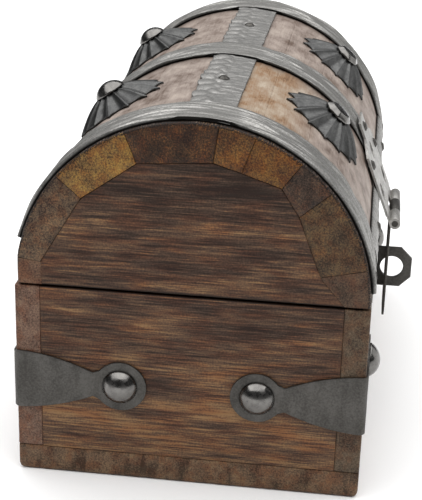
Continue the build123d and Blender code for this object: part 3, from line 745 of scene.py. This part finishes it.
# Straps and strips get the painted-shadow black on their cut sides.
beaten = {"depth": 0.00005, "shadow_black_sides": True}
strap_iron = forged_iron("hammered_waxed_iron", "#7a7976", "#a3a19e", 0.5, streak=(1.5, 6.0, 6.0), **beaten)
ridge_iron = forged_iron("beaten_waxed_iron", "#7e7d7b", "#a3a19e", 0.5, **beaten)
hasp_iron = forged_iron("filed_sheet_iron", "#8f8d8a", "#b4b2ae", 0.48, 0.00005)
plate_iron = forged_iron("blackened_sheet_iron", "#4b4946", "#5a5855", 0.5, 0.00006, streak=upright)
nail_iron = forged_iron("gunmetal_burnished_iron", "#676563", "#757370", 0.22, 0.00003, fine=1.5)
rosette_iron = forged_iron("gunmetal_pressed_iron", "#444444", "#585857", 0.4, 0.00004)
irons = (strap_iron, ridge_iron, hasp_iron, plate_iron, nail_iron, rosette_iron)
print("iron finishes:", *[iron.name for iron in irons])

# %% [markdown]
# The straps are sheet iron that a smith has hammered with the cross peen: long streaky folds run a little
# aslant along them, and the edges wander. At the top they step up and ride over the ridge strip.

# %% The arch straps
sheet = 0.8
ridge_angles = (79.5, 95.0)
ridge_inset = 1.5
step_up = 0.85
fold_size = (2.0, 14.0)
ripple_size = (0.8, 6.0)
fold_height, stand_off = 0.75, 0.4
long_share, small_share = 1.15, 0.12
top_share, top_sink = 0.55, 0.42
edge_wander, edge_nicks = 0.3, 0.12
end_inset = 1.3
leaf_angle = 21.6
strap_tack_angles = (7.5, 162.0)


def over_ridge(angle):
    """How far a strap rises at an angle to ride over the ridge strip."""
    front, back = ridge_angles
    return step_up * smooth(angle, front - 4.0, front - 0.1) * (1 - smooth(angle, back + 0.1, back + 4.0))


for count, (side, centre) in enumerate(strap_centres.items()):

    def strap_place(a, b, s, centre=centre):
        """Round the lid at the angle s / r, and higher where the ridge strip lies below."""
        angle = np.degrees(s / wood_radius)
        y, z = lid_place(wood_radius + sheet + over_ridge(angle) + b, angle)
        return [centre + a, y, z]

    def strap_deep(k, s, centre=centre):
        """The sheet, and where no ridge strip lies under the raised part also the hollow below it."""
        angle = np.degrees(s / wood_radius)
        past_end = np.abs(centre + k * strap_half) > half_length - ridge_inset + 0.1
        hollow = (angle < ridge_angles[0]) | (angle > ridge_angles[1]) | past_end
        return sheet + over_ridge(angle) * hollow

    def folds(a, s, count=count):
        """Folds along the strap: the distance of a smooth landscape from zero, so that hollows between the
        rounded folds are sharp creases. They drift across and sway, and they are lower at the top, where the
        strap is highest. The iron lies flat round the tacks and under the hasp's leaf."""
        angle = np.degrees(s / wood_radius)
        slant = s + 1.6 * a
        sway = 0.9 * hills((16.0, 6.0), s, a, seed=count + 5.0)
        long_folds = np.abs(hills(fold_size, a - 0.06 * s + sway, slant, seed=count * 3.0))
        small_folds = hills(ripple_size, a + 0.05 * s, slant, seed=count + 9.0)
        raised = over_ridge(angle) / step_up
        free = stand_off + fold_height * (long_share * long_folds + small_share * small_folds)
        for tack_angle in strap_tack_angles:
            free = free * smooth(np.hypot(a, s - np.radians(tack_angle) * wood_radius), 2.0, 4.5)
        if count == 1:
            free = free * smooth(np.abs(angle - leaf_angle), 8, 14)
        at_top = fold_height * (top_share * long_folds - top_sink)
        return free * (1 - raised) + at_top * raised

    def strap_edge(k, s, count=count):
        """Edges that wander by a few tenths of a mm, in long waves with short ones on them. An end strap,
        number 0 or 2, stays a little inside the lid's end, which is on its side -1 or 1."""
        edge_side = np.sign(k)
        waves = hills((6.0, 1.0), s, edge_side * 3, seed=count + 2.0)
        nicks = hills((1.6, 1.0), s, edge_side * 3, seed=count + 4.0)
        outer_end = edge_side == count - 1
        return edge_side * (edge_wander * (waves - 1) + edge_nicks * nicks - end_inset * outer_end)

    start, stop = np.radians(strap_angles) * wood_radius
    stations = np.linspace(start, stop, 300)
    form = {"arris": 0.3, "relief": folds, "wobble": strap_edge, "down": 2}
    rows, top = bar(stations, strap_half, strap_deep, strap_place, 0.35, 0.25, **form)
    node = "arch_strap_" + side
    skin(node + "_hammered", rows, "lid", strap_iron, [node], {"outer_face": top})
print("strap length in mm:", round(stop - start, 1))

# %% [markdown]
# The ridge strip runs the length of the lid under the straps. Its back half is beaten with a ball, which
# leaves rounded shells that overlap like scales, and its front half is streaked across.

# %% The ridge strip
ridge_half = np.radians(ridge_angles[1] - ridge_angles[0]) / 2 * wood_radius
ridge_middle = sum(ridge_angles) / 2
bay_middle = strap_centres["right"] / 2
dice = np.random.default_rng(5)
shell_count = 27
shell_x = np.linspace(-86, 86, shell_count)
# Two rows of shells: their shift along the strip, their place across it and how far they reach
shell_rows = ((0.0, 4.6, 4.2), (3.2, 1.0, 3.0))
shell_places = np.array([(x + shift, across, reach) for shift, across, reach in shell_rows for x in shell_x])
shell_places[:, :2] += dice.uniform(-0.8, 0.8, (2 * shell_count, 2))
shell_heights = dice.uniform(0.6, 0.95, 2 * shell_count) * np.repeat([1.0, 0.75], shell_count)


def near_strap(x):
    """1 under an arch strap and just beside it, and 0 in the open bays."""
    beside = [np.abs(x - centre) - strap_half for centre in strap_centres.values()]
    return sum(1 - smooth(distance, 0.15, 1.15) for distance in beside)


def shells(a, s):
    """The highest of many low domes: each falls with the square of the distance from its own blow."""
    across = a[..., None] - shell_places[:, 1]
    along = s[..., None] - shell_places[:, 0]
    return np.max(shell_heights * (1 - (across**2 + along**2) / shell_places[:, 2] ** 2), axis=-1)


def ridge_relief(a, s):
    """Domes on the back half, and creases across on the front half where the hills are near zero. Both end
    round the tacks in the middle of the bays, and at the straps."""
    a, s = np.broadcast_arrays(a, s)
    streaks = np.abs(hills((6.0, 1.3), a, s + 0.2 * a, seed=4.0)) + 0.15 * hills((3.0, 0.7), a, s, seed=7.0)
    back = smooth(a + 1.4 * hills((3.0, 1.0), s, 0.0, seed=2.0), -1.6, 1.2)
    height = np.clip(shells(a, s), 0, 1) * back + 0.4 * streaks * (1 - back)
    height = height * smooth(np.hypot(np.abs(s) - bay_middle, a), 1.9, 3.4)
    return height * (1 - near_strap(s)) - 0.12 * near_strap(s)


def ridge_edge(k, s):
    """A nearly straight front edge, and a back edge that is scalloped by the domes."""
    lobes = 1.8 * np.clip(shells(ridge_half + 0.6 + 0 * s, s), 0, 1) - 0.5
    return (k > 0) * lobes * (1 - near_strap(s)) - (k < 0) * 0.15 * (1 + hills((5.0, 1.0), s, 0.0, seed=1.0))


stations = np.linspace(ridge_inset - half_length, half_length - ridge_inset, 440)
form = {"relief": ridge_relief, "wobble": ridge_edge, "down": 2}
rows, top = bar(stations, ridge_half, sheet, on_lid(ridge_middle, sheet), 0.4, 0.25, **form)
skin("ridge_strip_hammered", rows, "lid", ridge_iron, ["ridge_strip"], {"outer_face": top})
print("ridge strip width in mm:", round(2 * ridge_half, 1))

# %% [markdown]
# Two short strips lie low on the lid's front, between the end straps and the hasp. They are bowed, so
# their middle stands off the wood a little.

# %% The front strips
front_angles = (4.5, 15.5)
front_bulge = 0.9
front_half = np.radians(front_angles[1] - front_angles[0]) / 2 * wood_radius
front_middle = sum(front_angles) / 2


def front_relief(a, s):
    """Creases that run slantwise over the strip."""
    return 0.45 * np.abs(hills((7.0, 1.4), a, s + 0.4 * a, seed=6.0)) - 0.1


for side in ("left", "right"):
    node = "front_strip_" + side
    low, high = [np.array(corner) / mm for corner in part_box(node)]
    stations = np.linspace(low[0], high[0], 96)
    place = on_lid(front_middle, sheet, front_bulge, front_half)
    rows, top = bar(stations, front_half, sheet, place, 0.5, 0.25, relief=front_relief, down=2)
    skin(node + "_hammered", rows, "lid", strap_iron, [node], {"outer_face": top})
print("front strips are in place")

# %% [markdown]
# A corner bracket is one strip of sheet iron bent round an upright edge: broad at the corner, narrow at
# the neck, and a round ring under each nail. Its path goes along the end, round the corner and along the
# side, and its half height is a function of the distance from the corner.

# %% The corner brackets
half_width = 55.0
bracket_level = 33.0
bracket_sheet = 0.8
corner_round = 0.8
bend_reach = 0.8
nail_reach = 33.3
ring_radius = 8.3
neck_reach, neck_half = 24.5, 4.1
broad_half, middle_reach, middle_half = 9.9, 13.0, 8.1
corners = {"front_left": (-1, -1), "front_right": (1, -1), "back_left": (-1, 1), "back_right": (1, 1)}


def bracket_half(s):
    """Half the height at distance |s| from the corner: a curve through three heights up to the neck, and
    the circle of the ring, whichever is more."""
    reach = np.abs(s)
    shape = np.polyfit([bend_reach, middle_reach, neck_reach], [broad_half, middle_half, neck_half], 2)
    arm = np.where(reach < neck_reach, np.polyval(shape, np.maximum(reach, bend_reach)), neck_half)
    arm = np.where(reach > nail_reach, 0, arm)
    ring = np.sqrt(np.maximum(ring_radius**2 - (reach - nail_reach) ** 2, 0))
    return np.maximum(arm, ring)


for corner, (sx, sy) in corners.items():

    def bracket_place(a, b, s, sx=sx, sy=sy):
        """s below zero lies on the end face, above zero on the side face, and a quarter turn joins them."""
        quarter = corner_round * np.pi / 4
        out = corner_round + bracket_sheet + b
        turn = np.clip((s + quarter) / (2 * quarter), 0, 1) * np.pi / 2
        past_end = np.maximum(-s - quarter, 0)
        past_side = np.maximum(s - quarter, 0)
        x = sx * (half_length - corner_round + out * np.cos(turn) - past_side)
        y = sy * (half_width - corner_round + out * np.sin(turn) - past_end)
        return [x, y, bracket_level + a]

    def bracket_relief(a, s, sx=sx, sy=sy):
        """Slight dents."""
        return 0.05 * hills((5.0, 6.0), a, s, seed=sx + 2 * sy + 8.0)

    inner = np.linspace(-neck_reach, neck_reach, 66)
    # The half circle's last six places would lie beyond the neck
    ring_turn = np.linspace(0, np.pi, 30)[:-6]
    ring_stations = nail_reach + ring_radius * np.cos(ring_turn)
    stations = np.unique(np.round(np.concatenate([-ring_stations, inner, ring_stations]), 4))
    form = {"relief": bracket_relief, "down": 2}
    rows, _ = bar(stations, bracket_half, bracket_sheet, bracket_place, 0.9, 0.2, **form)
    node = "corner_bracket_" + corner
    skin(node + "_bent", rows, "base", plate_iron, [node])
print("bracket arms reach", nail_reach + ring_radius, "mm from the corner")

# %% [markdown]
# Domed nails hold the brackets and the rosettes. Each is a profile turned round its axis: the dome is part
# of a ball, its rim is low, and the shank goes into the wood. The domes on the front rosettes were dressed
# with a flat hammer and show facets.

# %% The domed nails
def dome(head, height, rim):
    """The profile of a dome as radii and heights: an arc of a ball of radius (r r + h h) / 2 h."""
    rise = height - rim
    ball = (head**2 + rise**2) / (2 * rise)
    sweep = np.linspace(0.02, np.arcsin(head / ball), 16)
    return ball * np.sin(sweep), height - ball + ball * np.cos(sweep)


shank = 0.9


def nail_rows(profile, length, seed, facets=0):
    """A profile turned round Z, then a rim and a shank. facets pulls the outline in to the flats of a
    polygon, and its corners fall on grid points."""
    radii, heights = profile
    head, rim = radii[-1], heights[-1]
    r = np.concatenate([radii, [head, head - 0.15, shank, shank, shank * 0.6]])[:, None]
    z = np.concatenate([heights, [rim * 0.4, 0, 0, -length + 0.6, -length]])[:, None]
    turn = np.linspace(0, 2 * np.pi, 48, endpoint=False)
    pull = 1.0
    if facets:
        flat = np.pi / facets
        pull = np.cos(flat) / np.cos(turn % (2 * flat) - flat)
    reach = r * (1 - np.clip(r / head, 0, 1) ** 2 * (z >= 0) * (1 - pull))
    x, y = reach * np.cos(turn + seed), reach * np.sin(turn + seed)
    dents = 0.03 * hills((2.0, 2.0), x, y, seed=seed + 3.0) * (z > rim)
    return np.stack([x, y, z + dents], axis=-1)


def stand(rows, origin, right, out):
    """Rows turned so that their Z points along out, their X along right, and their origin is at a place."""
    out, right = np.array(out, float), np.array(right, float)
    return np.array(origin) + rows @ np.stack([right, np.cross(out, right), out])


def join(name, shapes, body, finish, node):
    """Several closed skins as one piece, which stands for one node."""
    made = [skin("part", outward(rows)[0], body, finish, [node]) for rows in shapes]
    first = made[0]
    with bpy.context.temp_override(active_object=first, selected_editable_objects=made):
        bpy.ops.object.join()
    first.name = first.data.name = name


corner_shapes = []
for count, (sx, sy) in enumerate(corners.values()):
    rows = nail_rows(dome(5.6, 3.7, 0.4), 6.5, count)
    end_place = (sx * (half_length + bracket_sheet), sy * (half_width - nail_reach), bracket_level)
    side_place = (sx * (half_length - nail_reach), sy * (half_width + bracket_sheet), bracket_level)
    corner_shapes.append(stand(rows, end_place, (0, 0, 1), (sx, 0, 0)))
    corner_shapes.append(stand(rows, side_place, (0, 0, 1), (0, sy, 0)))
join("corner_nails_domed", corner_shapes, "base", nail_iron, "corner_nails")
print("corner nails:", len(corner_shapes))

# %% [markdown]
# Each rosette is a round of sheet pressed into fourteen pleats like a small umbrella. The ribs are sharp
# and end in points that touch the wood, and the panels sag between them and end in arches.

# %% The rosettes and their nails
petals = 14
rosette_radius = 16.3
rosette_height = 5.3
rosette_sheet = 0.5
petal_sag, sag_power = 1.5, 1.2
rim_notch, notch_power = 0.2, 0.65
rosettes = {
    "rosette_front_left": (48.5, 3.5 - bay_middle),
    "rosette_front_right": (48.5, 3.5 + bay_middle),
    "rosette_back_left": (125.0, -1.5 - bay_middle),
    "rosette_back_right": (125.0, -1.5 + bay_middle),
}
profile_radius = np.array([0.0, 5.2, 7.0, 10.0, 13.4, 16.3])
profile_height = np.array([5.3, 5.3, 4.75, 3.5, 1.9, 0.65])


def rosette_rows(seed):
    """Height at (radius, turn) is the profile at that radius, less a sag between the ribs that grows with
    the radius to a power, less the fall of the round lid. Between the ribs the rim is drawn in by up to a
    fifth, in an arc with steep ends, so every rib ends in a point."""
    turn = np.linspace(0, 2 * np.pi, petals * 12, endpoint=False)
    rib = np.abs(((turn * petals / (2 * np.pi)) % 1) * 2 - 1)
    hollow = 1 - rib**2
    out = np.linspace(0.08, 1, 26)[:, None]
    rim = rosette_radius * (1.0 - rim_notch * hollow**notch_power)
    r = out * rim
    z = np.interp(r, profile_radius, profile_height) - petal_sag * hollow * out**sag_power
    z = z + 0.05 * hills((3.0, 3.0), r * np.cos(turn), r * np.sin(turn), seed=seed) * out
    fall = (r * np.sin(turn)) ** 2 / (2 * wood_radius) * out
    upper = np.stack([r * np.cos(turn), r * np.sin(turn), z - fall], axis=-1)
    lower = upper[::-1].copy()
    lower[..., 2] -= rosette_sheet
    lower[..., :2] *= 0.985
    return np.concatenate([upper, lower])


flat_radii = [0.1, 1.5, 3.0, 3.5, 3.75, 4.3, 5.0, 5.2]
flat_heights = [2.2, 2.18, 2.1, 2.02, 1.9, 1.45, 0.85, 0.65]
nail_shapes = []
for count, (node, (angle, along)) in enumerate(rosettes.items()):
    y, z = lid_place(wood_radius, angle)
    out = (0, -np.cos(np.radians(angle)), np.sin(np.radians(angle)))
    rows = stand(rosette_rows(count), (along, y, z), (1, 0, 0), out)
    skin(node + "_pleated", outward(rows)[0], "lid", rosette_iron, [node])
    y, z = lid_place(wood_radius + rosette_height, angle)
    front = "front" in node
    profile = (flat_radii, flat_heights) if front else dome(5.2, 3.4, 0.4)
    rows = nail_rows(profile, 13.3, count, facets=8 * front)
    nail_shapes.append(stand(rows, (along, y, z), (1, 0, 0), out))
join("rosette_nails_domed", nail_shapes, "lid", nail_iron, "rosette_nails")
print("rosettes:", len(rosettes))

# %% [markdown]
# The hasp, the padlock eye, the hinges and the small tacks have the right shape in the frame. The plates
# only need their sharp edges broken, so a merged copy gets a small bevel. Pins and tacks keep their mesh.

# %% The hasp, the eye, the hinges and the tacks
eased_width = 0.15


def eased_copy(node, body, finish):
    """A copy of a node's mesh, its loose triangles merged and flat ones joined, with a fine bevel."""
    mesh = bpy.data.meshes.new(node + "_eased")
    work = bmesh.new()
    work.from_mesh(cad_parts[node].data)
    bmesh.ops.remove_doubles(work, verts=work.verts, dist=0.002 * mm)
    bmesh.ops.dissolve_limit(work, angle_limit=math.radians(2), verts=work.verts, edges=work.edges)
    work.to_mesh(mesh)
    work.free()
    mesh.materials.clear()
    mesh.materials.append(finish)
    piece = placed(node + "_eased", mesh)
    bevel = piece.modifiers.new("eased_edges", "BEVEL")
    bevel.width = eased_width * mm
    bevel.segments = 2
    bevel.limit_method = "ANGLE"
    bevel.angle_limit = math.radians(35)
    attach(piece, body)
    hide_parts(node)


eased = {"hasp_leaf": "lid", "hasp_flap": "flap", "padlock_staple": "base"}
eased.update({"hinge_%s_base_leaf" % side: "base" for side in ("left", "right")})
eased.update({"hinge_%s_lid_leaf" % side: "lid" for side in ("left", "right")})
for node, body in eased.items():
    eased_copy(node, body, hasp_iron if node == "hasp_leaf" else plate_iron)
kept_nodes = [name for name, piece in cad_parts.items() if not piece.hide_render]
for name in kept_nodes:
    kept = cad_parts[name]
    kept.data.materials.clear()
    kept.data.materials.append(plate_iron)
print("kept as they are:", kept_nodes)

# %% Measure and finish
low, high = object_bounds()
print("visual box in mm:", [round(x / mm, 1) for x in (*low, *high)])
